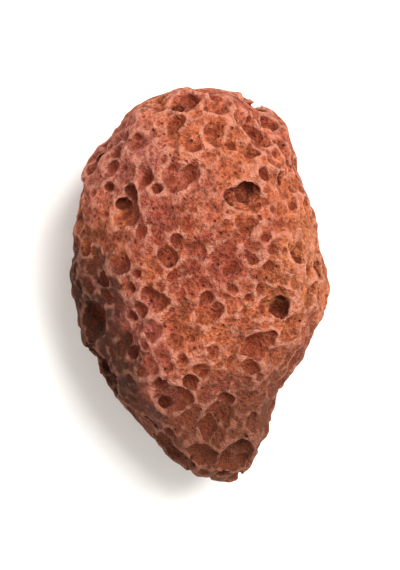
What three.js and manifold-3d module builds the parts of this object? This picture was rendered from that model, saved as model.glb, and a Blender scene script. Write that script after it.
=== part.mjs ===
// One piece of red lava rock (scoria), gravel size: a blunt egg of frozen basalt froth with chipped faces
// and open gas pores. Millimetres, +Z up. The stone lies on its flat bed with its wide end towards +Y and
// its crown up; the origin is under the middle of its bounding box, on the bed plane.

import * as THREE from "three";
import { mergeVertices } from "three/addons/utils/BufferGeometryUtils.js";
import { ImprovedNoise } from "three/addons/math/ImprovedNoise.js";
import Module from "manifold-3d";

// Overall size of the finished stone.
const LENGTH = 17.5; // narrow end to wide end, along Y
const WIDTH = 11.5; // side to side, along X
const HEIGHT = 9.0; // bed to crown, along Z

// The egg that the chips are knocked off.
const FULLNESS = 2.6; // 2 is an ellipse, more gives it fuller shoulders
const NARROWING = 0.32; // how much slimmer the narrow end is than the wide end, as a share
const NARROW_FROM = 0.8; // the share of the half length by which it is fully narrowed
const SWING = { wideEnd: 0.4, narrowEnd: 1.2 }; // how far each end lies towards +X of the middle
const BOW = 0.3; // how far the shoulders, halfway to each end, lean towards -X
const SKIN_STEPS = 13; // each icosahedron edge is split into this many plus one

// Lumps left between the chips: how far they stand proud or sink, and how wide they are.
const LUMPS = [
  { relief: 0.45, width: 5.2 },
  { relief: 0.25, width: 2.3 },
];
const LUMP_PATCH = new THREE.Vector3(9.7, 6.2, 3.1); // the stretch of noise that the lumps are taken from

// Chipped faces. Azimuth is counted from +X towards +Y, slope up from the horizontal, both in degrees.
// Inset is how much of the egg's reach in that direction is lost.
const ARRIS_SOFTNESS = 0.32; // rounding of the edges between chips
const CHIPS = [
  { side: "crown", azimuth: -10, slope: 82, inset: 0.07 },
  { side: "left flank", azimuth: 198, slope: 38, inset: 0.12 },
  { side: "upper right shoulder", azimuth: 46, slope: 32, inset: 0.08 },
  { side: "wide end", azimuth: 60, slope: 12, inset: 0.06 },
  { side: "upper left side", azimuth: 138, slope: 12, inset: 0.02 },
  { side: "upper right side", azimuth: 18, slope: 2, inset: 0.06 },
  { side: "right side", azimuth: -3, slope: 8, inset: 0.04 },
  { side: "lower right side", azimuth: -29, slope: 5, inset: 0.1 },
  { side: "lower left side", azimuth: 215, slope: 14, inset: 0.04 },
  { side: "narrow end", azimuth: -80, slope: 20, inset: 0.04 },
];

// The flat bed that the stone rests on. A clean break leaves each side of it, leaning outwards as it rises.
const BED_INSET = 0.13; // share of the egg's half height lost to the bed
const BED_SIDES = [
  { x: 2.7, y: -3.2, lean: 42 },
  { x: 3.1, y: 1.8, lean: 39 },
  { x: 1.5, y: 4.9, lean: 41 },
  { x: -2.1, y: 4.6, lean: 38 },
  { x: -3.0, y: 0.9, lean: 43 },
  { x: -2.2, y: -3.4, lean: 40 },
  { x: 0.5, y: -5.1, lean: 42 },
]; // each side starts at this corner and runs anticlockwise; lean is in degrees from the horizontal

// Pores are balls half sunk in the skin.
const PORE_STEPS = 1; // each icosahedron edge of a pore is split into this many plus one
const PORE_DEPTH = 0.65; // depth as a share of the mouth's width

// Large open pores on the crown: place in plan, length, width and turn of the mouth from +X in degrees.
const CROWN_PORES = [
  { x: -0.7, y: 7.9, long: 1.0, wide: 0.8, turn: 80 },
  { x: 0.8, y: 7.6, long: 0.7, wide: 0.6, turn: 0 },
  { x: 2.4, y: 6.9, long: 1.8, wide: 0.8, turn: -38 },
  { x: -2.7, y: 6.0, long: 0.8, wide: 0.6, turn: 60 },
  { x: -3.2, y: 3.1, long: 1.0, wide: 0.9, turn: 20 },
  { x: -0.9, y: 4.5, long: 1.0, wide: 0.8, turn: -40 },
  { x: 2.2, y: 3.6, long: 1.2, wide: 0.9, turn: -25 },
  { x: 3.9, y: 4.3, long: 0.9, wide: 0.6, turn: 80 },
  { x: -1.2, y: 1.4, long: 0.7, wide: 0.6, turn: 10 },
  { x: -2.2, y: -0.7, long: 1.1, wide: 0.7, turn: 85 },
  { x: -2.1, y: -2.0, long: 0.9, wide: 0.6, turn: 60 },
  { x: 3.2, y: -0.8, long: 1.1, wide: 0.8, turn: 50 },
  { x: 2.6, y: -2.6, long: 0.9, wide: 0.8, turn: 80 },
  { x: 3.8, y: -2.2, long: 0.8, wide: 0.5, turn: 60 },
  { x: -1.3, y: -4.9, long: 1.3, wide: 0.9, turn: 15 },
  { x: 0.9, y: -5.5, long: 1.0, wide: 0.8, turn: -30 },
  { x: 0.1, y: -7.4, long: 1.2, wide: 0.7, turn: -10 },
];

// The pores of the flanks and underside follow a loose spiral from the shoulders down to the bed.
const FLANK_PORES = 36;
const SPIRAL_TOP = 0.42; // sine of the slope where the spiral starts
const SPIRAL_FOOT = -0.86; // sine of the slope where it ends
const SPIRAL_STRAY = 0.25; // how far a pore strays from its place on the spiral, in radians
const FLANK_PORE_WIDTH = { least: 0.7, most: 1.7 };
const FLANK_PORE_STRETCH = 1.25; // length over width
const GOLDEN_SHARE = (3 - Math.sqrt(5)) / 2; // share of a turn from one pore to the next

const STONE_COLOUR = 0xa75a44; // brick red, dusty
const STONE_ROUGHNESS = 0.92;
const MERGE_TOLERANCE = 1e-5; // corners closer than this are one corner

const noise = new ImprovedNoise();
const wasm = await Module();
wasm.setup();

/** Unit vector at an azimuth and a slope, both in degrees. */
function direction(azimuth, slope) {
  const turn = THREE.MathUtils.degToRad(azimuth);
  const rise = THREE.MathUtils.degToRad(slope);
  return new THREE.Vector3(Math.cos(turn) * Math.cos(rise), Math.sin(turn) * Math.cos(rise), Math.sin(rise));
}

/** The egg's girth at a share of its half length, from -1 at the narrow end to 1 at the wide end. */
function girthAt(along) {
  const rounded = Math.max(1 - Math.abs(along) ** FULLNESS, 0) ** (1 / FULLNESS);
  return rounded * (1 - NARROWING * THREE.MathUtils.smoothstep(-along, 0, NARROW_FROM));
}

/** The egg's surface point for a unit direction. */
function eggPoint(unit) {
  const around = Math.atan2(unit.z, unit.x);
  const girth = girthAt(unit.y);
  const swing = (unit.y > 0 ? SWING.wideEnd : SWING.narrowEnd) * Math.abs(unit.y) ** 3;
  const bow = BOW * Math.sin(Math.PI * Math.abs(unit.y));
  return new THREE.Vector3(
    (WIDTH / 2) * girth * Math.cos(around) + swing - bow,
    (LENGTH / 2) * unit.y,
    (HEIGHT / 2) * girth * Math.sin(around),
  );
}

/** Presses the point back along the chip's normal: flat beyond the chip's reach, untouched well inside it. */
function pressChip(point, chip) {
  const beyond = (point.dot(chip.normal) - chip.reach) / ARRIS_SOFTNESS;
  point.addScaledVector(chip.normal, -ARRIS_SOFTNESS * Math.log1p(Math.exp(beyond)));
}

/** Raises or sinks the point by the lumps' smooth noise, outwards from the middle. */
function addLumps(point) {
  const outwards = point.clone().normalize();
  let rise = 0;
  for (const { relief, width } of LUMPS) {
    const { x, y, z } = point.clone().divideScalar(width).add(LUMP_PATCH);
    rise += relief * noise.noise(x, y, z);
  }
  point.addScaledVector(outwards, rise);
}

/** Each chip as a plane: its normal and its distance from the egg's middle. */
function chipPlanes(eggPoints) {
  return CHIPS.map(({ azimuth, slope, inset }) => {
    const normal = direction(azimuth, slope);
    const farthest = Math.max(...eggPoints.map((point) => point.dot(normal)));
    return { normal, reach: farthest * (1 - inset) };
  });
}

/** A closed ball of triangles with shared corners and nothing but positions. */
function ball(steps) {
  const geometry = new THREE.IcosahedronGeometry(1, steps);
  geometry.deleteAttribute("normal");
  geometry.deleteAttribute("uv");
  return mergeVertices(geometry, MERGE_TOLERANCE);
}

/** Every corner of a geometry as a vector. */
function cornersOf(geometry) {
  const corners = geometry.getAttribute("position");
  return Array.from({ length: corners.count }, (_, i) => new THREE.Vector3().fromBufferAttribute(corners, i));
}

/** The function from a unit direction to the chipped, lumpy stone, still centred on the egg's middle. */
function makeSurface() {
  const planes = chipPlanes(cornersOf(ball(SKIN_STEPS)).map(eggPoint));
  return (unit) => {
    const point = eggPoint(unit);
    planes.forEach((plane) => pressChip(point, plane));
    addLumps(point);
    return point;
  };
}

/** The stretch and shift that bring a box to the stone's size, standing on the origin plane. */
function fitToSize(box) {
  const size = box.getSize(new THREE.Vector3());
  const middle = box.getCenter(new THREE.Vector3());
  const stretch = new THREE.Matrix4().makeScale(WIDTH / size.x, LENGTH / size.y, HEIGHT / size.z);
  return stretch.multiply(new THREE.Matrix4().makeTranslation(-middle.x, -middle.y, -box.min.z));
}

/** The stone before its pores, cut flat at the bed and at full size, with the fit that brought it there. */
function makeStone(surface) {
  const geometry = ball(SKIN_STEPS);
  const bed = -(HEIGHT / 2) * (1 - BED_INSET);
  const points = cornersOf(geometry).map(surface);
  points.forEach((point, i) => {
    geometry.getAttribute("position").setXYZ(i, point.x, point.y, Math.max(point.z, bed));
  });
  geometry.computeBoundingBox();
  const fit = fitToSize(geometry.boundingBox);
  return { geometry: geometry.applyMatrix4(fit), fit };
}

/** The stone with a clean break along each side of its bed. */
function breakUnderEdges(solid) {
  return BED_SIDES.reduce((stone, start, i) => {
    const end = BED_SIDES[(i + 1) % BED_SIDES.length];
    const outwards = new THREE.Vector3(end.y - start.y, start.x - end.x, 0).normalize();
    const lean = THREE.MathUtils.degToRad(start.lean);
    const inwards = outwards.clone().multiplyScalar(-Math.sin(lean)).setZ(Math.cos(lean));
    return stone.trimByPlane(inwards.toArray(), inwards.x * start.x + inwards.y * start.y);
  }, solid);
}

/** A solid for joining and cutting, from a closed geometry. */
function toSolid(geometry) {
  const vertProperties = new Float32Array(geometry.getAttribute("position").array);
  const triVerts = new Uint32Array(geometry.getIndex().array);
  return new wasm.Manifold(new wasm.Mesh({ numProp: 3, vertProperties, triVerts }));
}

/** The geometry of a solid. */
function toGeometry(solid) {
  const { vertProperties, triVerts } = solid.getMesh();
  const geometry = new THREE.BufferGeometry();
  geometry.setAttribute("position", new THREE.BufferAttribute(new Float32Array(vertProperties), 3));
  geometry.setIndex(new THREE.BufferAttribute(new Uint32Array(triVerts), 1));
  return geometry;
}

/** A pore's solid: a ball stretched along its mouth and half sunk at its centre. Turn is in radians. */
function makePore({ centre, outwards, long, wide, turn }) {
  const up = new THREE.Vector3(0, 0, 1);
  const spin = new THREE.Quaternion().setFromAxisAngle(up, turn);
  const tilt = new THREE.Quaternion().setFromUnitVectors(up, outwards);
  const geometry = ball(PORE_STEPS);
  geometry.scale(long / 2, wide / 2, wide * PORE_DEPTH);
  geometry.applyQuaternion(tilt.multiply(spin));
  geometry.translate(centre.x, centre.y, centre.z);
  return toSolid(geometry);
}

/** The pores of the crown, each dropped straight down on to the stone. */
function crownPores(stone) {
  const down = new THREE.Vector3(0, 0, -1);
  return CROWN_PORES.map(({ x, y, long, wide, turn }) => {
    const ray = new THREE.Raycaster(new THREE.Vector3(x, y, 2 * HEIGHT), down);
    const [{ point, face }] = ray.intersectObject(stone);
    const radians = THREE.MathUtils.degToRad(turn);
    return makePore({ centre: point, outwards: face.normal, long, wide, turn: radians });
  });
}

/** The unit direction of a flank pore: its place on the spiral, strayed a little by noise. */
function spiralDirection(index) {
  const stray = (lane) => SPIRAL_STRAY * noise.noise(index * Math.E, lane * Math.PI, LUMP_PATCH.x);
  const level = THREE.MathUtils.lerp(SPIRAL_TOP, SPIRAL_FOOT, (index + 0.5) / FLANK_PORES) + stray(1);
  const rise = THREE.MathUtils.clamp(level, SPIRAL_FOOT, SPIRAL_TOP);
  const around = 2 * Math.PI * index * GOLDEN_SHARE + stray(2);
  const across = Math.sqrt(1 - rise * rise);
  return new THREE.Vector3(Math.cos(around) * across, Math.sin(around) * across, rise);
}

/** The pores of the flanks and underside, a few of them wide and most of them narrow. */
function flankPores(surface, fit) {
  const middle = new THREE.Vector3().applyMatrix4(fit);
  return Array.from({ length: FLANK_PORES }, (_, i) => {
    const centre = surface(spiralDirection(i)).applyMatrix4(fit);
    const outwards = centre.clone().sub(middle).normalize();
    const rank = (i * Math.SQRT2) % 1;
    const wide = THREE.MathUtils.lerp(FLANK_PORE_WIDTH.least, FLANK_PORE_WIDTH.most, rank * rank);
    return makePore({ centre, outwards, long: wide * FLANK_PORE_STRETCH, wide, turn: i });
  });
}

/** The whole stone with its pores cut. */
function makeLavaRock() {
  const surface = makeSurface();
  const { geometry, fit } = makeStone(surface);
  const pores = [...crownPores(new THREE.Mesh(geometry)), ...flankPores(surface, fit)];
  const froth = pores.reduce((joined, pore) => joined.add(pore));
  const material = new THREE.MeshStandardMaterial({
    color: STONE_COLOUR,
    roughness: STONE_ROUGHNESS,
    metalness: 0,
    flatShading: true,
  });
  const lavaRock = new THREE.Mesh(toGeometry(breakUnderEdges(toSolid(geometry)).subtract(froth)), material);
  lavaRock.name = "lava_rock";
  return lavaRock;
}

const part = new THREE.Group();
part.add(makeLavaRock());

export default part;
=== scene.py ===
"""One piece of red lava rock, scoria gravel size, lying on a pale studio floor.

The stone's frozen froth is carved into a fine mesh: shallow hollows first, then the gas pores that
open in them, then pinholes in every wall. Where dust and shade lie is then read off the finished surface,
so that the dust lies on the ridges and the dark red, deepened by painted shade, stays in the pores. Lengths
in the classes are in millimetres.
"""

import logging
import math
from abc import ABC, abstractmethod
from dataclasses import dataclass
from enum import Enum

import bmesh
import bpy
import numpy as np
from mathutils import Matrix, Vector


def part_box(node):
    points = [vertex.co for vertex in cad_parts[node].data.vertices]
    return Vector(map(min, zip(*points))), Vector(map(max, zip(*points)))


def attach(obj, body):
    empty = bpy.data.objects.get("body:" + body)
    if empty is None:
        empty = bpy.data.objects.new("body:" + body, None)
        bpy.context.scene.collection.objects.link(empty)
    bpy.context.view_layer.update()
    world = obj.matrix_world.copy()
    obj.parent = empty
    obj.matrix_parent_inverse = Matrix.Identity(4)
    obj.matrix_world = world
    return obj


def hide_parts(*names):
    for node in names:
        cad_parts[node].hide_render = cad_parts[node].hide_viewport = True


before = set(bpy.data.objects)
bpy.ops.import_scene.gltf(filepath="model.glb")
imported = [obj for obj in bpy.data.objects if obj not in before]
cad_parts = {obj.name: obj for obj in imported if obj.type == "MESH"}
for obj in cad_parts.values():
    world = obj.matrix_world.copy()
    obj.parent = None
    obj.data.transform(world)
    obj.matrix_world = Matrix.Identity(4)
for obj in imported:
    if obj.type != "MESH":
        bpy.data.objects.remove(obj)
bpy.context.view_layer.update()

MM = 0.001  # metres in a millimetre
CAD_NODE = "lava_rock"
BODY = "root"
MIDDLE_GREY = (0.5, 0.5, 0.5)  # the middle of a noise texture's colour
ROUGH_NOISE = 0.55  # how strong each finer layer of a rough noise is beside the one before

Tree = bpy.types.NodeTree
Node = bpy.types.Node
Socket = bpy.types.NodeSocket
Way = tuple[float, float, float]

log = logging.getLogger("lava_rock")


def linear(colour: str) -> tuple[float, float, float, float]:
    """Turn an sRGB hex colour into Blender's linear colour.

    Args:
        colour: six hex digits after a hash, such as "#a75a44".

    Returns:
        Linear red, green, blue and a full alpha.
    """
    shares = [int(colour[i : i + 2], 16) / 255 for i in (1, 3, 5)]
    red, green, blue = (s / 12.92 if s <= 0.04045 else ((s + 0.055) / 1.055) ** 2.4 for s in shares)
    return red, green, blue, 1.0


def add_node(tree: Tree, kind: str, inputs: dict | None = None, **settings) -> Node:
    """Add a node with its settings, plain input values and links.

    Args:
        tree: the shader or geometry tree that the node joins.
        kind: the node's type name.
        inputs: a value or another node's output for each input, by the input's name or number.
        settings: the node's own properties.

    Returns:
        The new node.
    """
    node = tree.nodes.new(kind)
    for name, value in settings.items():
        setattr(node, name, value)
    for key, value in (inputs or {}).items():
        if isinstance(value, Socket):
            tree.links.new(value, node.inputs[key])
        else:
            node.inputs[key].default_value = value
    return node


class Unit(Enum):
    """What a tree's input holds, with the socket for it."""

    NUMBER = "NodeSocketFloat"
    COUNT = "NodeSocketInt"


class Carving(ABC):
    """One thing done to the skin by a geometry tree whose sizes are named inputs."""

    @abstractmethod
    def sizes(self) -> dict[str, float]:
        """Give the tree's sizes by name, lengths in metres."""

    @abstractmethod
    def shape(self, tree: Tree, size: bpy.types.bpy_prop_collection) -> Socket:
        """Add the nodes that do the work.

        Args:
            tree: the geometry tree.
            size: the tree's inputs. The first is the skin and the others are the sizes.

        Returns:
            The output that holds the worked skin.
        """

    def carve(self, piece: bpy.types.Object, material: bpy.types.Material) -> None:
        """Put the tree on a piece and set its sizes by their sockets' identifiers.

        Args:
            piece: the object that the tree works on.
            material: the finish of every face.
        """
        sizes = self.sizes()
        tree = bpy.data.node_groups.new(type(self).__name__, "GeometryNodeTree")
        tree.interface.new_socket("Geometry", in_out="OUTPUT", socket_type="NodeSocketGeometry")
        tree.interface.new_socket("Geometry", in_out="INPUT", socket_type="NodeSocketGeometry")
        for name, value in sizes.items():
            unit = Unit.COUNT if isinstance(value, int) else Unit.NUMBER
            tree.interface.new_socket(name, in_out="INPUT", socket_type=unit.value)
        worked = self.shape(tree, add_node(tree, "NodeGroupInput").outputs)
        real = add_node(tree, "GeometryNodeRealizeInstances", {0: worked})
        dressed = add_node(tree, "GeometryNodeSetMaterial", {0: real.outputs[0], "Material": material})
        add_node(tree, "NodeGroupOutput", {0: dressed.outputs[0]})
        modifier = piece.modifiers.new(tree.name, "NODES")
        modifier.node_group = tree
        for item in tree.interface.items_tree:
            if item.name in sizes:
                modifier[item.identifier] = sizes[item.name]


class Grain(Enum):
    """How a relief is broken up: rounded swells, or cells with a ridge round each."""

    SWELL = "swell"
    CELL = "cell"


@dataclass(frozen=True)
class Relief(Carving):
    """One grain of relief pressed into the whole skin, which it only ever sinks."""

    grain: Grain
    width: float
    depth: float
    seed: float
    unevenness: float = 0.3  # how far the pattern is shaken, as a share of its width
    shake_scale: float = 0.8  # shakes in one width of the pattern
    merging: float = 0.25  # how softly a cell runs into the next
    pit_floor: float = 0.1  # where a cell's flat floor ends, as a share of its width
    pit_rim: float = 0.75  # where its wall reaches the ridge

    def sizes(self) -> dict[str, float]:
        """Give the tree's sizes in metres."""
        return {"Width": self.width * MM, "Depth": self.depth * MM}

    def shape(self, tree: Tree, size: bpy.types.bpy_prop_collection) -> Socket:
        """Sink the skin along its normal by the grain's pattern.

        Args:
            tree: the geometry tree.
            size: the tree's inputs.

        Returns:
            The output that holds the sunk skin.
        """
        place = self.shaken_place(tree, size["Width"])
        share = self.swell(tree, place) if self.grain is Grain.SWELL else self.cell(tree, place)
        depth = add_node(tree, "ShaderNodeMath", {0: share, 1: size["Depth"]}, operation="MULTIPLY")
        up = add_node(tree, "GeometryNodeInputNormal").outputs[0]
        inwards = add_node(tree, "ShaderNodeVectorMath", {0: up, "Scale": -1.0}, operation="SCALE")
        shift = add_node(
            tree,
            "ShaderNodeVectorMath",
            {0: inwards.outputs[0], "Scale": depth.outputs[0]},
            operation="SCALE",
        )
        return add_node(tree, "GeometryNodeSetPosition", {0: size[0], "Offset": shift.outputs[0]}).outputs[0]

    def shaken_place(self, tree: Tree, width: Socket) -> Socket:
        """Give each point's place in units of the pattern's width, shaken so that it runs unevenly.

        Args:
            tree: the geometry tree.
            width: the pattern's width.

        Returns:
            The output that holds the shaken place.
        """
        scale = add_node(tree, "ShaderNodeMath", {0: 1.0, 1: width}, operation="DIVIDE").outputs[0]
        place = add_node(tree, "GeometryNodeInputPosition").outputs[0]
        even = add_node(
            tree, "ShaderNodeVectorMath", {0: place, "Scale": scale}, operation="SCALE"
        ).outputs[0]
        shake = add_node(
            tree,
            "ShaderNodeTexNoise",
            {"Vector": even, "W": self.seed, "Scale": self.shake_scale, "Detail": 1.0},
            noise_dimensions="4D",
        ).outputs["Color"]
        centred = add_node(tree, "ShaderNodeVectorMath", {0: shake, 1: MIDDLE_GREY}, operation="SUBTRACT")
        return add_node(
            tree,
            "ShaderNodeVectorMath",
            {0: centred.outputs[0], 1: (2 * self.unevenness,) * 3, 2: even},
            operation="MULTIPLY_ADD",
        ).outputs[0]

    def swell(self, tree: Tree, place: Socket) -> Socket:
        """Add rounded swells and dips.

        Args:
            tree: the geometry tree.
            place: each point's place in units of the pattern's width.

        Returns:
            The output that holds the share of the depth, from 0 to 1.
        """
        return add_node(
            tree,
            "ShaderNodeTexNoise",
            {"Vector": place, "W": self.seed, "Scale": 1.0, "Detail": 2.0, "Roughness": ROUGH_NOISE},
            noise_dimensions="4D",
        ).outputs["Fac"]

    def cell(self, tree: Tree, place: Socket) -> Socket:
        """Add a pit at each cell's middle and a ridge between cells.

        Args:
            tree: the geometry tree.
            place: each point's place in units of the pattern's width.

        Returns:
            The output that holds the share of the depth, from 0 to 1.
        """
        cells = add_node(
            tree,
            "ShaderNodeTexVoronoi",
            {"Vector": place, "W": self.seed, "Scale": 1.0, "Smoothness": self.merging},
            voronoi_dimensions="4D",
            feature="SMOOTH_F1",
        ).outputs["Distance"]
        return add_node(
            tree,
            "ShaderNodeMapRange",
            {
                "Value": cells,
                "From Min": self.pit_floor,
                "From Max": self.pit_rim,
                "To Min": 1.0,
                "To Max": 0.0,
            },
            interpolation_type="SMOOTHSTEP",
        ).outputs[0]


@dataclass(frozen=True)
class Pores(Carving):
    """One crop of gas pores, scattered over the whole skin in loose clusters."""

    spacing: float
    least_radius: float
    most_radius: float
    rarity: float  # 1 spreads the radii evenly, more makes wide pores rare
    stretch: float  # length over width
    unevenness: float  # how far a pore's ball is dented, in radii
    lift: float  # how far its middle stands off the skin, in radii
    cluster: float  # how wide a cluster is
    thinnest: float  # share of the pores left between clusters
    detail: int  # how often the pore ball's faces are split in four
    seed: int
    dents: float = 1.1  # dents on a pore ball's radius
    sparse: float = 0.4  # the cluster noise where the pores are thinnest
    crowded: float = 0.6  # the cluster noise where every pore is kept

    def sizes(self) -> dict[str, float]:
        """Give the tree's sizes, lengths in metres.

        Returns:
            Each size by its name.
        """
        return {
            "Spacing": self.spacing * MM,
            "Least radius": self.least_radius * MM,
            "Most radius": self.most_radius * MM,
            "Rarity": self.rarity,
            "Stretch": self.stretch,
            "Unevenness": self.unevenness,
            "Lift": self.lift,
            "Cluster": self.cluster * MM,
            "Thinnest": self.thinnest,
            "Detail": self.detail,
            "Seed": self.seed,
        }

    def shape(self, tree: Tree, size: bpy.types.bpy_prop_collection) -> Socket:
        """Cut a stretched, dented ball out of the skin at each pore.

        Args:
            tree: the geometry tree.
            size: the tree's inputs.

        Returns:
            The output that holds the pored skin.
        """
        points, radius = self.middles(tree, size)
        turn = add_node(
            tree,
            "FunctionNodeRandomValue",
            {0: (0.0, 0.0, 0.0), 1: (math.tau, math.tau, math.tau), "Seed": size["Seed"]},
            data_type="FLOAT_VECTOR",
        ).outputs[0]
        long = add_node(tree, "ShaderNodeCombineXYZ", {"X": 1.0, "Y": 1.0, "Z": size["Stretch"]}).outputs[0]
        scale = add_node(
            tree, "ShaderNodeVectorMath", {0: long, "Scale": radius}, operation="SCALE"
        ).outputs[0]
        balls = add_node(
            tree,
            "GeometryNodeInstanceOnPoints",
            {"Points": points, "Instance": self.ball(tree, size), "Rotation": turn, "Scale": scale},
        ).outputs[0]
        return add_node(
            tree,
            "GeometryNodeMeshBoolean",
            {"Mesh 1": size[0], "Mesh 2": balls},
            operation="DIFFERENCE",
            solver="MANIFOLD",
        ).outputs[0]

    def middles(self, tree: Tree, size: bpy.types.bpy_prop_collection) -> tuple[Socket, Socket]:
        """Scatter the pores' middles over the skin and pick each one's radius.

        Args:
            tree: the geometry tree.
            size: the tree's inputs.

        Returns:
            The points, lifted off the skin, and their radii.
        """
        area = add_node(tree, "ShaderNodeMath", {0: size["Spacing"], 1: -2.0}, operation="POWER").outputs[0]
        scatter = add_node(
            tree,
            "GeometryNodeDistributePointsOnFaces",
            {
                "Mesh": size[0],
                "Distance Min": size["Spacing"],
                "Density Max": area,
                "Density Factor": self.crowding(tree, size),
                "Seed": size["Seed"],
            },
            distribute_method="POISSON",
        )
        chance = add_node(
            tree, "FunctionNodeRandomValue", {"Seed": size["Seed"]}, data_type="FLOAT"
        ).outputs[1]
        rank = add_node(tree, "ShaderNodeMath", {0: chance, 1: size["Rarity"]}, operation="POWER").outputs[0]
        radius = add_node(
            tree,
            "ShaderNodeMapRange",
            {"Value": rank, "To Min": size["Least radius"], "To Max": size["Most radius"]},
        ).outputs[0]
        kept = add_node(tree, "GeometryNodeCaptureAttribute", {0: scatter.outputs["Points"]}, domain="POINT")
        kept.capture_items.new("FLOAT", "radius")
        tree.links.new(radius, kept.inputs[1])
        lift = add_node(tree, "ShaderNodeMath", {0: kept.outputs[1], 1: size["Lift"]}, operation="MULTIPLY")
        rise = add_node(
            tree,
            "ShaderNodeVectorMath",
            {0: scatter.outputs["Normal"], "Scale": lift.outputs[0]},
            operation="SCALE",
        )
        lifted = add_node(tree, "GeometryNodeSetPosition", {0: kept.outputs[0], "Offset": rise.outputs[0]})
        return lifted.outputs[0], kept.outputs[1]

    def crowding(self, tree: Tree, size: bpy.types.bpy_prop_collection) -> Socket:
        """Give the share of the pores kept at each place, so that they come in clusters.

        Args:
            tree: the geometry tree.
            size: the tree's inputs.

        Returns:
            The output that holds the share.
        """
        scale = add_node(tree, "ShaderNodeMath", {0: 1.0, 1: size["Cluster"]}, operation="DIVIDE").outputs[0]
        crowd = add_node(
            tree,
            "ShaderNodeTexNoise",
            {"W": size["Seed"], "Scale": scale, "Detail": 1.0},
            noise_dimensions="4D",
        ).outputs[0]
        return add_node(
            tree,
            "ShaderNodeMapRange",
            {
                "Value": crowd,
                "From Min": self.sparse,
                "From Max": self.crowded,
                "To Min": size["Thinnest"],
            },
        ).outputs[0]

    def ball(self, tree: Tree, size: bpy.types.bpy_prop_collection) -> Socket:
        """Make the dented ball that every pore is a copy of.

        Args:
            tree: the geometry tree.
            size: the tree's inputs.

        Returns:
            The output that holds the ball, about 1 in radius.
        """
        sphere = add_node(tree, "GeometryNodeMeshIcoSphere", {"Radius": 1.0, "Subdivisions": size["Detail"]})
        noise = add_node(tree, "ShaderNodeTexNoise", {"Scale": self.dents, "Detail": 1.0}).outputs["Color"]
        centred = add_node(tree, "ShaderNodeVectorMath", {0: noise, 1: MIDDLE_GREY}, operation="SUBTRACT")
        dent = add_node(
            tree,
            "ShaderNodeVectorMath",
            {0: centred.outputs[0], "Scale": size["Unevenness"]},
            operation="SCALE",
        )
        ball = add_node(tree, "GeometryNodeSetPosition", {0: sphere.outputs[0], "Offset": dent.outputs[0]})
        return ball.outputs[0]


@dataclass(frozen=True)
class Squeeze(Carving):
    """The creep of froth that was still soft, which pulled the round pores out of true."""

    width: float
    pull: float
    seed: float

    def sizes(self) -> dict[str, float]:
        """Give the tree's sizes in metres."""
        return {"Width": self.width * MM, "Pull": self.pull * MM}

    def shape(self, tree: Tree, size: bpy.types.bpy_prop_collection) -> Socket:
        """Shift the skin by smooth noise in all three directions.

        Args:
            tree: the geometry tree.
            size: the tree's inputs.

        Returns:
            The output that holds the shifted skin.
        """
        scale = add_node(tree, "ShaderNodeMath", {0: 1.0, 1: size["Width"]}, operation="DIVIDE").outputs[0]
        noise = add_node(
            tree,
            "ShaderNodeTexNoise",
            {"W": self.seed, "Scale": scale, "Detail": 1.0},
            noise_dimensions="4D",
        ).outputs["Color"]
        centred = add_node(tree, "ShaderNodeVectorMath", {0: noise, 1: MIDDLE_GREY}, operation="SUBTRACT")
        shift = add_node(
            tree, "ShaderNodeVectorMath", {0: centred.outputs[0], "Scale": size["Pull"]}, operation="SCALE"
        )
        return add_node(tree, "GeometryNodeSetPosition", {0: size[0], "Offset": shift.outputs[0]}).outputs[0]


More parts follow.
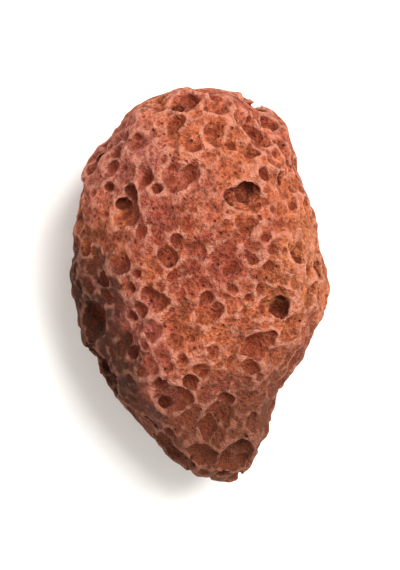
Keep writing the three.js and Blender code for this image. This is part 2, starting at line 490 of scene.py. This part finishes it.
@dataclass(frozen=True)
class WeatheringAndShade(Carving):
    """Where dust can lie and where painted shade falls: how enclosed each point is, and how proud it stands.

    It moves nothing. It stores "shelter", 0 in the open to 1 deep in a pore, and "ridge", 0 in a dip to 1
    on a crest, for the finish to read: it paints shade in the sheltered places and the dips, and dust on the
    crests.
    """

    reach: float = 1.6  # how far off a wall still shelters a point
    off_wall: float = 0.03  # how far off the skin the looking starts, so that it doesn't meet itself
    directions: int = 20
    soften: int = 2  # rounds of blurring
    ridge_width: int = 8  # rounds of blurring that a ridge must outlast
    ridge_relief: float = 0.06  # how far above its surroundings a full crest stands

    def sizes(self) -> dict[str, float]:
        """Give the tree's sizes in metres."""
        return {
            "Reach": self.reach * MM,
            "Off wall": self.off_wall * MM,
            "Ridge relief": self.ridge_relief * MM,
        }

    def shape(self, tree: Tree, size: bpy.types.bpy_prop_collection) -> Socket:
        """Store both values on the skin's points, and shade it smooth.

        Args:
            tree: the geometry tree.
            size: the tree's inputs.

        Returns:
            The output that holds the skin with its values.
        """
        skin = size[0]
        for name, value in (("shelter", self.shelter(tree, size)), ("ridge", self.ridge(tree, size))):
            skin = add_node(
                tree,
                "GeometryNodeStoreNamedAttribute",
                {0: skin, "Name": name, "Value": value},
                data_type="FLOAT",
                domain="POINT",
            ).outputs[0]
        return add_node(tree, "GeometryNodeSetShadeSmooth", {0: skin}).outputs[0]

    def shelter(self, tree: Tree, size: bpy.types.bpy_prop_collection) -> Socket:
        """Find the share of the sky over each point that nearby walls hide.

        Args:
            tree: the geometry tree.
            size: the tree's inputs.

        Returns:
            The output that holds the share.
        """
        place = add_node(tree, "GeometryNodeInputPosition").outputs[0]
        normal = add_node(tree, "GeometryNodeInputNormal").outputs[0]
        step = add_node(
            tree, "ShaderNodeVectorMath", {0: normal, "Scale": size["Off wall"]}, operation="SCALE"
        )
        start = add_node(
            tree, "ShaderNodeVectorMath", {0: place, 1: step.outputs[0]}, operation="ADD"
        ).outputs[0]
        hidden: Socket | float = 0.0
        whole: Socket | float = 1e-6  # not zero, because the hidden part is divided by it
        for way in self.ways():
            facing = add_node(tree, "ShaderNodeVectorMath", {0: normal, 1: way}, operation="DOT_PRODUCT")
            weight = add_node(
                tree, "ShaderNodeMath", {0: facing.outputs["Value"], 1: 0.0}, operation="MAXIMUM"
            ).outputs[0]
            hit = add_node(
                tree,
                "GeometryNodeRaycast",
                {0: size[0], "Source Position": start, "Ray Direction": way, "Ray Length": size["Reach"]},
            ).outputs["Is Hit"]
            hidden = add_node(
                tree, "ShaderNodeMath", {0: hit, 1: weight, 2: hidden}, operation="MULTIPLY_ADD"
            ).outputs[0]
            whole = add_node(tree, "ShaderNodeMath", {0: whole, 1: weight}, operation="ADD").outputs[0]
        share = add_node(tree, "ShaderNodeMath", {0: hidden, 1: whole}, operation="DIVIDE").outputs[0]
        return add_node(
            tree, "GeometryNodeBlurAttribute", {0: share, "Iterations": self.soften}, data_type="FLOAT"
        ).outputs[0]

    def ridge(self, tree: Tree, size: bpy.types.bpy_prop_collection) -> Socket:
        """Find how far each point stands above its surroundings.

        Args:
            tree: the geometry tree.
            size: the tree's inputs.

        Returns:
            The output that holds the height, from 0 to 1.
        """
        place = add_node(tree, "GeometryNodeInputPosition").outputs[0]
        normal = add_node(tree, "GeometryNodeInputNormal").outputs[0]
        level = add_node(
            tree,
            "GeometryNodeBlurAttribute",
            {"Value": place, "Iterations": self.ridge_width},
            data_type="FLOAT_VECTOR",
        )
        proud = add_node(tree, "ShaderNodeVectorMath", {0: place, 1: level.outputs[0]}, operation="SUBTRACT")
        height = add_node(
            tree, "ShaderNodeVectorMath", {0: proud.outputs[0], 1: normal}, operation="DOT_PRODUCT"
        ).outputs["Value"]
        fall = add_node(tree, "ShaderNodeMath", {0: size["Ridge relief"], 1: -1.0}, operation="MULTIPLY")
        return add_node(
            tree,
            "ShaderNodeMapRange",
            {"Value": height, "From Min": fall.outputs[0], "From Max": size["Ridge relief"]},
        ).outputs[0]

    def ways(self) -> list[Way]:
        """Spread the looking directions evenly over a sphere, on a golden spiral.

        Returns:
            The directions, each of length 1.
        """
        golden = math.pi * (3 - math.sqrt(5))
        levels = [1 - (2 * i + 1) / self.directions for i in range(self.directions)]
        return [
            (math.cos(golden * i) * math.sqrt(1 - z * z), math.sin(golden * i) * math.sqrt(1 - z * z), z)
            for i, z in enumerate(levels)
        ]


class Field(ABC):
    """A number over the whole stone, which says where a colour lies."""

    @abstractmethod
    def value(self, tree: Tree, place: Socket) -> Socket:
        """Add the nodes that give the number.

        Args:
            tree: the material's tree.
            place: the object coordinates.

        Returns:
            The output that holds the number.
        """


@dataclass(frozen=True)
class Patches(Field):
    """Solid noise in patches of about the given width, from 0 to 1 and mostly near its middle."""

    width: float
    seed: float
    detail: float = 3.0  # times the patches are broken up again, each time at half the size

    def value(self, tree: Tree, place: Socket) -> Socket:
        """Add the noise.

        Args:
            tree: the material's tree.
            place: the object coordinates.

        Returns:
            The output that holds the noise.
        """
        return add_node(
            tree,
            "ShaderNodeTexNoise",
            {
                "Vector": place,
                "W": self.seed,
                "Scale": 1 / (self.width * MM),
                "Detail": self.detail,
                "Roughness": ROUGH_NOISE,
            },
            noise_dimensions="4D",
        ).outputs["Fac"]


@dataclass(frozen=True)
class Pinpricks(Field):
    """Pores too small to carve: the distance from the nearest one's middle, in units of their spacing."""

    spacing: float
    seed: float

    def value(self, tree: Tree, place: Socket) -> Socket:
        """Add the cells that have a pinprick in the middle of each.

        Args:
            tree: the material's tree.
            place: the object coordinates.

        Returns:
            The output that holds the distance from the nearest pinprick.
        """
        return add_node(
            tree,
            "ShaderNodeTexVoronoi",
            {"Vector": place, "W": self.seed, "Scale": 1 / (self.spacing * MM)},
            voronoi_dimensions="4D",
        ).outputs["Distance"]


@dataclass(frozen=True)
class WeatheredAndShaded(Field):
    """One of the values that the WeatheringAndShade tree stored, raised by noise so that its edges break up.
    """

    name: str
    ragged: Patches = Patches(0.2, 13.0)
    raggedness: float = 0.5  # how much of the noise is added

    def value(self, tree: Tree, place: Socket) -> Socket:
        """Read the stored value and add the noise.

        Args:
            tree: the material's tree.
            place: the object coordinates.

        Returns:
            The output that holds the ragged value.
        """
        stored = add_node(tree, "ShaderNodeAttribute", attribute_name=self.name)
        stray = self.ragged.value(tree, place)
        return add_node(
            tree,
            "ShaderNodeMath",
            {0: stray, 1: self.raggedness, 2: stored.outputs["Fac"]},
            operation="MULTIPLY_ADD",
        ).outputs[0]


@dataclass(frozen=True)
class Side(Field):
    """How far out each point lies in one direction, in metres, with a ragged edge."""

    way: Way
    ragged: Patches
    raggedness: float = 1.6  # how far the edge wanders, in millimetres

    def value(self, tree: Tree, place: Socket) -> Socket:
        """Add the distance along the direction and the noise that makes it ragged.

        Args:
            tree: the material's tree.
            place: the object coordinates.

        Returns:
            The output that holds the ragged distance.
        """
        along = add_node(tree, "ShaderNodeVectorMath", {0: place, 1: self.way}, operation="DOT_PRODUCT")
        stray = self.ragged.value(tree, place)
        return add_node(
            tree,
            "ShaderNodeMath",
            {0: stray, 1: self.raggedness * MM, 2: along.outputs["Value"]},
            operation="MULTIPLY_ADD",
        ).outputs[0]


@dataclass(frozen=True)
class Spot(Field):
    """How far each point lies from a middle, in metres, with a ragged edge."""

    middle: Way  # in millimetres
    ragged: Patches
    raggedness: float = 3.0  # how far the edge wanders, in millimetres

    def value(self, tree: Tree, place: Socket) -> Socket:
        """Add the distance and the noise that makes it ragged.

        Args:
            tree: the material's tree.
            place: the object coordinates.

        Returns:
            The output that holds the ragged distance.
        """
        middle = tuple(length * MM for length in self.middle)
        distance = add_node(tree, "ShaderNodeVectorMath", {0: place, 1: middle}, operation="DISTANCE")
        stray = self.ragged.value(tree, place)
        return add_node(
            tree,
            "ShaderNodeMath",
            {0: stray, 1: self.raggedness * MM, 2: distance.outputs["Value"]},
            operation="MULTIPLY_ADD",
        ).outputs[0]


class Blend(Enum):
    """How a colour goes over what is under it: it covers it, or darkens it as a wash does."""

    COVER = "MIX"
    WASH = "MULTIPLY"


@dataclass(frozen=True)
class Layer:
    """One colour over those under it: none of it where its field is at low, its share at high."""

    colour: str
    field: Field
    low: float
    high: float
    share: float = 1.0
    blend: Blend = Blend.COVER

    def laid_on(self, under: Socket | tuple, tree: Tree, place: Socket) -> Socket:
        """Lay the colour over another.

        Args:
            under: the colour so far.
            tree: the material's tree.
            place: the object coordinates.

        Returns:
            The new colour.
        """
        strength = add_node(
            tree,
            "ShaderNodeMapRange",
            {
                "Value": self.field.value(tree, place),
                "From Min": self.low,
                "From Max": self.high,
                "To Max": self.share,
            },
            interpolation_type="SMOOTHSTEP",
        ).outputs[0]
        # A colour mix has its factor at 0, its two colours at 6 and 7, and its result at 2.
        mix = add_node(
            tree,
            "ShaderNodeMix",
            {0: strength, 6: under, 7: linear(self.colour)},
            data_type="RGBA",
            blend_type=self.blend.value,
        )
        return mix.outputs[2]


@dataclass(frozen=True)
class OxidisedScoria:
    """Red scoria, basalt froth burnt red by hot air as it fell, then broken and tumbled as gravel.

    Iron oxide gives a dull brick red, orange where the crust was hottest and maroon in the pores, which
    painted shade deepens there. Rubbed ridges carry their own pale dust, so the surface looks chalky and
    shows no gloss.
    Painted shade also darkens the dips, the grit, the pinpricks, the narrow end and the left flank, and a
    painted highlight pales the right and upper rims.
    """

    roughness: float = 0.92
    glass_ior: float = 1.55  # basalt glass
    gloss: float = 0.15  # broken froth swallows most of the glass's own shine
    brick: str = "#ae543e"
    grit: Patches = Patches(0.15, 5.0)  # the real grit is finer, and is drawn as coarse as it needs to show
    grit_relief: float = 0.55  # in millimetres, more than the real grit's, so that it shows at this size
    pinpricks: Pinpricks = Pinpricks(0.3, 12.0)  # drawn wider apart than the real ones, for the same reason
    pinprick_reach: float = 0.3  # how far out a pinprick's wall starts, in units of their spacing
    pinprick_depth: float = 0.5  # how deep one is beside the grit's relief
    # The left flank and the narrow end, where the layers below paint shade over their brown.
    flank: Side = Side((-0.9, -0.33, 0.28), Patches(1.1, 6.0), 2.6)
    narrow_end: Side = Side((0.3, -0.95, 0.0), Patches(1.8, 10.0))
    layers: tuple[Layer, ...] = (
        # Bands of the crust that burnt hotter, or kept a little pink ash.
        Layer("#c76b44", Patches(3.6, 1.0), 0.42, 0.6),
        Layer("#c06856", Patches(3.6, 2.0), 0.5, 0.66),
        Layer("#c96b45", Spot((2.0, 5.0, 7.0), Patches(1.8, 6.0)), 6.0 * MM, 3.5 * MM, 0.6),
        Layer("#d5854d", Spot((3.8, 0.6, 6.0), Patches(1.8, 7.0)), 4.8 * MM, 2.6 * MM, 0.6),
        Layer("#cb7665", Spot((-3.0, 5.4, 6.5), Patches(1.8, 8.0)), 4.6 * MM, 2.6 * MM, 0.6),
        # Rock flour caught on the right flank and the upper rim, and a painted rim highlight along both.
        Layer("#a66c62", Side((0.94, 0.0, -0.34), Patches(1.8, 9.0)), 4.9 * MM, 6.3 * MM, 0.6),
        Layer("#ac7365", Side((0.4, 0.88, -0.26), Patches(1.8, 11.0)), 7.2 * MM, 8.8 * MM, 0.6),
        # Painted shade and brown weather stains on the narrow end, and painted shade and brown soot on the
        # left flank, which was never rubbed.
        Layer("#66351f", narrow_end, 3.2 * MM, 7.4 * MM, 0.85),
        Layer("#381b0f", flank, 6.1 * MM, 7.3 * MM, 0.95),
        # The mottle of whole froth cells, then painted shade in the dips of the grit of their broken walls,
        # which the bump sinks.
        Layer("#c9c2be", Patches(0.55, 3.0), 0.6, 0.35, 1.0, Blend.WASH),
        Layer("#b9b0aa", grit, 0.6, 0.36, 1.0, Blend.WASH),
        # Painted shade in the pinpricks, which the bump also sinks.
        Layer("#b0705a", pinpricks, 0.3, 0.12, 1.0, Blend.WASH),
        # Dark red in the dips, partly the pits' own oxide and partly painted shade, and dust rubbed on to
        # the ridges.
        Layer("#83361f", WeatheredAndShaded("ridge"), 0.72, 0.32),
        Layer("#d28a71", WeatheredAndShaded("ridge"), 0.78, 1.15, 0.72),
        # Painted shade and brown again over the dust on the ridges of the narrow end and the left flank,
        # then maroon in the pores, deepened as painted shade.
        Layer("#6b3a25", narrow_end, 3.2 * MM, 7.4 * MM, 0.65),
        Layer("#4a2516", flank, 6.3 * MM, 7.5 * MM, 0.7),
        # The pores' own maroon, deepened as painted shade where nearby walls hide the sky.
        Layer("#55200f", WeatheredAndShaded("shelter", raggedness=0.3), 0.45, 1.0),
    )

    def material(self) -> bpy.types.Material:
        """Make the material.

        Returns:
            A node material that reads object coordinates and the weathering's values.
        """
        made = bpy.data.materials.new("scoria_oxidised_tumbled")
        made.use_nodes = True
        tree = made.node_tree
        tree.nodes.clear()
        place = add_node(tree, "ShaderNodeTexCoord").outputs["Object"]
        colour: Socket | tuple = linear(self.brick)
        for layer in self.layers:
            colour = layer.laid_on(colour, tree, place)
        skin = add_node(
            tree,
            "ShaderNodeMapRange",
            {
                "Value": self.pinpricks.value(tree, place),
                "From Max": self.pinprick_reach,
                "To Max": self.pinprick_depth,
            },
            interpolation_type="SMOOTHSTEP",
        ).outputs[0]
        height = add_node(tree, "ShaderNodeMath", {0: self.grit.value(tree, place), 1: skin}).outputs[0]
        rough = add_node(tree, "ShaderNodeBump", {"Height": height, "Distance": self.grit_relief * MM})
        shader = add_node(
            tree,
            "ShaderNodeBsdfPrincipled",
            {
                "Base Color": colour,
                "Roughness": self.roughness,
                "IOR": self.glass_ior,
                "Specular IOR Level": self.gloss,
                "Normal": rough.outputs[0],
            },
        )
        add_node(tree, "ShaderNodeOutputMaterial", {"Surface": shader.outputs[0]})
        return made


@dataclass(frozen=True)
class LavaRock:
    """The whole stone: a copy of the solid, carved at full fineness and dressed in one finish."""

    first_voxel: float = 0.11
    last_voxel: float = 0.075
    joining: float = 0.001  # corners nearer than this are one
    rubbing: float = 0.5  # how far each round of rubbing moves a corner towards its neighbours
    flats_rounds: int = 6  # rounds that take the flats off the solid's skin
    flakes_rounds: int = 1  # rounds that take the loose flakes off the carved skin
    most_triangles: int = 190_000
    lumps: Relief = Relief(Grain.SWELL, width=2.4, depth=0.5, seed=3.0)
    froth: Relief = Relief(Grain.CELL, width=1.15, depth=0.28, seed=5.0)
    fine_froth: Relief = Relief(Grain.CELL, width=0.42, depth=0.1, seed=7.0)
    grit: Relief = Relief(Grain.SWELL, width=0.22, depth=0.08, seed=9.0)
    squeeze: Squeeze = Squeeze(width=0.9, pull=0.3, seed=14.0)
    weathering_and_shade: WeatheringAndShade = WeatheringAndShade()
    finish: OxidisedScoria = OxidisedScoria()
    hollows: Pores = Pores(
        spacing=1.9,
        least_radius=0.28,
        most_radius=0.56,
        rarity=1.0,
        stretch=1.4,
        unevenness=1.0,
        lift=0.45,
        cluster=4.0,
        thinnest=0.5,
        detail=3,
        seed=11,
    )
    vesicles: Pores = Pores(
        spacing=0.66,
        least_radius=0.12,
        most_radius=0.38,
        rarity=1.7,
        stretch=1.35,
        unevenness=0.8,
        lift=0.0,
        cluster=3.0,
        thinnest=0.4,
        detail=3,
        seed=23,
    )
    pinholes: Pores = Pores(
        spacing=0.29,
        least_radius=0.07,
        most_radius=0.17,
        rarity=1.5,
        stretch=1.2,
        unevenness=0.5,
        lift=0.1,
        cluster=1.6,
        thinnest=0.3,
        detail=1,
        seed=37,
    )

    def build(self) -> bpy.types.Object:
        """Carve and dress the stone.

        Returns:
            The finished piece, riding on the body in place of the solid.
        """
        material = self.finish.material()
        blank = self.blank()
        self.remesh(blank, self.first_voxel)
        self.rub(blank, self.flats_rounds)
        self.lumps.carve(blank, material)
        self.hollows.carve(blank, material)
        self.remesh(blank, self.first_voxel)
        self.froth.carve(blank, material)
        self.vesicles.carve(blank, material)
        self.pinholes.carve(blank, material)
        self.squeeze.carve(blank, material)
        self.remesh(blank, self.last_voxel)
        self.fine_froth.carve(blank, material)
        self.grit.carve(blank, material)
        self.remesh(blank, self.last_voxel)
        self.rub(blank, self.flakes_rounds)
        carved = self.plain_mesh(blank)
        bpy.data.objects.remove(blank)
        return self.finished(carved, material)

    def blank(self) -> bpy.types.Object:
        """Copy the solid's mesh and join its loose triangles.

        Returns:
            The blank to be carved.
        """
        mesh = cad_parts[CAD_NODE].data.copy()
        work = bmesh.new()
        work.from_mesh(mesh)
        bmesh.ops.remove_doubles(work, verts=work.verts, dist=self.joining * MM)
        work.to_mesh(mesh)
        work.free()
        blank = bpy.data.objects.new("blank", mesh)
        bpy.context.scene.collection.objects.link(blank)
        return blank

    def remesh(self, piece: bpy.types.Object, voxel: float) -> None:
        """Rebuild the skin in even squares.

        Args:
            piece: the object to rebuild.
            voxel: the squares' side in millimetres.
        """
        modifier = piece.modifiers.new("remesh", "REMESH")
        modifier.mode = "VOXEL"
        modifier.voxel_size = voxel * MM

    def rub(self, piece: bpy.types.Object, rounds: int) -> None:
        """Rub the skin smoother.

        Args:
            piece: the object to rub.
            rounds: how often it is rubbed.
        """
        modifier = piece.modifiers.new("rub", "SMOOTH")
        modifier.factor = self.rubbing
        modifier.iterations = rounds

    def plain_mesh(self, piece: bpy.types.Object) -> bpy.types.Mesh:
        """Turn a piece with its modifiers into a plain mesh.

        Args:
            piece: the object, left as it is.

        Returns:
            The mesh that its modifiers end in.
        """
        depsgraph = bpy.context.evaluated_depsgraph_get()
        evaluated = piece.evaluated_get(depsgraph)
        return bpy.data.meshes.new_from_object(evaluated, preserve_all_data_layers=True, depsgraph=depsgraph)

    def finished(self, carved: bpy.types.Mesh, material: bpy.types.Material) -> bpy.types.Object:
        """Thin the carved mesh, store where its dust and painted shade lie, keep the one whole stone and put
        it on the body.

        Args:
            carved: the mesh with every pore in it.
            material: the finish.

        Returns:
            The finished piece.
        """
        piece = bpy.data.objects.new("scoria_stone", carved)
        bpy.context.scene.collection.objects.link(piece)
        thin = piece.modifiers.new("thin", "DECIMATE")
        thin.ratio = min(1.0, self.most_triangles / (2 * len(carved.polygons)))
        self.weathering_and_shade.carve(piece, material)
        piece.data = self.plain_mesh(piece)
        piece.data.name = piece.name
        piece.modifiers.clear()
        self.drop_crumbs(piece.data)
        self.fit(piece.data)
        self.dress(piece.data, material)
        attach(piece, BODY)
        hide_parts(CAD_NODE)
        return piece

    def drop_crumbs(self, mesh: bpy.types.Mesh) -> None:
        """Remove the crumbs that carving cut loose.

        Args:
            mesh: the carved mesh, changed in place.
        """
        work = bmesh.new()
        work.from_mesh(mesh)
        left = set(work.verts)
        bits = []
        while left:
            front = [left.pop()]
            bits.append(list(front))
            while front:
                corner = front.pop()
                near = {edge.other_vert(corner) for edge in corner.link_edges} & left
                left -= near
                front += near
                bits[-1] += near
        bits.sort(key=len)
        crumbs = [corner for bit in bits[:-1] for corner in bit]
        bmesh.ops.delete(work, geom=crumbs, context="VERTS")
        work.to_mesh(mesh)
        work.free()

    def fit(self, mesh: bpy.types.Mesh) -> None:
        """Stretch the carved mesh back to the solid's box, which carving has left it a little inside.

        Args:
            mesh: the carved mesh, changed in place.
        """
        corners = np.empty(3 * len(mesh.vertices), np.float32)
        mesh.vertices.foreach_get("co", corners)
        corners = corners.reshape(-1, 3)
        low, high = (np.array(corner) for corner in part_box(CAD_NODE))
        least, most = corners.min(axis=0), corners.max(axis=0)
        corners = low + (corners - least) / (most - least) * (high - low)
        mesh.vertices.foreach_set("co", corners.astype(np.float32).ravel())
        mesh.update()

    def dress(self, mesh: bpy.types.Mesh, material: bpy.types.Material) -> None:
        """Leave the mesh with its own finish and no other.

        Args:
            mesh: the carved mesh, changed in place.
            material: the finish.
        """
        mesh.materials.clear()
        mesh.materials.append(material)
        mesh.polygons.foreach_set("material_index", [0] * len(mesh.polygons))


@dataclass(frozen=True)
class Lamp:
    """One soft square lamp: where it hangs and its side, both in metres, and its power in watts."""

    name: str
    place: tuple[float, float, float]
    side: float
    power: float

    def hang(self) -> None:
        """Hang the lamp, turned to the stone."""
        light = bpy.data.lights.new(self.name, "AREA")
        light.size = self.side
        light.energy = self.power
        hung = bpy.data.objects.new(self.name, light)
        hung.location = self.place
        hung.rotation_euler = Vector(self.place).to_track_quat("Z", "Y").to_euler()
        bpy.context.scene.collection.objects.link(hung)


@dataclass(frozen=True)
class MattPaint:
    """Matt white wall paint, rolled on: chalk and little binder, so it looks even and never shines."""

    colour: str = "#f1efec"
    roughness: float = 0.95
    gloss: float = 0.1

    def material(self) -> bpy.types.Material:
        """Make the material.

        Returns:
            A plain material of one colour.
        """
        made = bpy.data.materials.new("studio_paint_matt")
        made.use_nodes = True
        shader = made.node_tree.nodes["Principled BSDF"]
        shader.inputs["Base Color"].default_value = linear(self.colour)
        shader.inputs["Roughness"].default_value = self.roughness
        shader.inputs["Specular IOR Level"].default_value = self.gloss
        return made


@dataclass(frozen=True)
class Cove:
    """The round pale cove that the stone lies in: a flat floor whose rim bends up into a wall, in metres."""

    floor: float = 0.12
    bend: float = 0.6
    height: float = 0.8
    bend_steps: int = 32
    round_steps: int = 96
    joining: float = 0.00001  # corners nearer than this are one
    paint: MattPaint = MattPaint()

    def build(self) -> bpy.types.Object:
        """Lathe the cove.

        Returns:
            The cove.
        """
        work = bmesh.new()
        rows = [work.verts.new((x, 0, z)) for x, z in self.profile()]
        edges = [work.edges.new(pair) for pair in zip(rows, rows[1:])]
        bmesh.ops.spin(
            work, geom=rows + edges, cent=(0, 0, 0), axis=(0, 0, 1), angle=math.tau, steps=self.round_steps
        )
        bmesh.ops.remove_doubles(work, verts=work.verts, dist=self.joining)
        bmesh.ops.recalc_face_normals(work, faces=work.faces)
        mesh = bpy.data.meshes.new("cove")
        work.to_mesh(mesh)
        work.free()
        mesh.polygons.foreach_set("use_smooth", [True] * len(mesh.polygons))
        mesh.materials.append(self.paint.material())
        cove = bpy.data.objects.new("cove", mesh)
        bpy.context.scene.collection.objects.link(cove)
        return cove

    def profile(self) -> list[tuple[float, float]]:
        """Draw the cove's section from its middle outwards.

        Returns:
            Each corner's distance from the middle and its height.
        """
        turns = [i / self.bend_steps * math.pi / 2 for i in range(self.bend_steps + 1)]
        bent = [(self.floor + self.bend * math.sin(t), self.bend * (1 - math.cos(t))) for t in turns]
        return [(0.0, 0.0), *bent, (self.floor + self.bend, self.height)]


@dataclass(frozen=True)
class Studio:
    """The camera overhead, the cove, the soft lamps and the even light between them."""

    lens: float = 180.0
    sensor: float = 36.0
    view_height: float = 25.0  # what the camera sees at the stone's middle, in millimetres
    sky: float = 0.58  # the room's even light, in watts per square metre
    sky_colour: str = "#ffffff"
    cove: Cove = Cove()
    lamps: tuple[Lamp, ...] = (
        Lamp("key", (0.2, 0.16, 0.42), 0.26, 3.95),
        Lamp("fill", (-0.35, -0.2, 0.3), 0.4, 0.4),
    )

    def set_camera(self, low: Vector, high: Vector) -> None:
        """Hang the camera straight over the stone, looking down, with the wide end at the top.

        Args:
            low: the stone's lowest corner.
            high: the stone's highest corner.
        """
        lens = bpy.data.cameras.new("camera")
        lens.lens = self.lens
        lens.sensor_width = self.sensor
        camera = bpy.data.objects.new("camera", lens)
        distance = self.view_height * MM * self.lens / self.sensor
        camera.location = (low + high) / 2 + Vector((0, 0, distance))
        bpy.context.scene.collection.objects.link(camera)
        bpy.context.scene.camera = camera

    def light(self) -> None:
        """Hang the lamps, fill the room with even pale light and show colours as they are."""
        for lamp in self.lamps:
            lamp.hang()
        world = bpy.data.worlds.new("studio")
        world.use_nodes = True
        background = world.node_tree.nodes["Background"]
        background.inputs["Color"].default_value = linear(self.sky_colour)
        background.inputs["Strength"].default_value = self.sky
        bpy.context.scene.world = world
        bpy.context.scene.view_settings.view_transform = "Standard"


def report(piece: bpy.types.Object) -> None:
    """Log a piece's name and how many triangles it has.

    Args:
        piece: the finished piece.
    """
    piece.data.calc_loop_triangles()
    log.info("%s: %d triangles", piece.name, len(piece.data.loop_triangles))


def main() -> None:
    """Set the camera, build the stone and the cove, and light them."""
    logging.basicConfig(level=logging.INFO, format="%(name)s: %(message)s")
    studio = Studio()
    studio.set_camera(*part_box(CAD_NODE))
    report(LavaRock().build())
    report(studio.cove.build())
    studio.light()


if __name__ == "__main__":
    main()
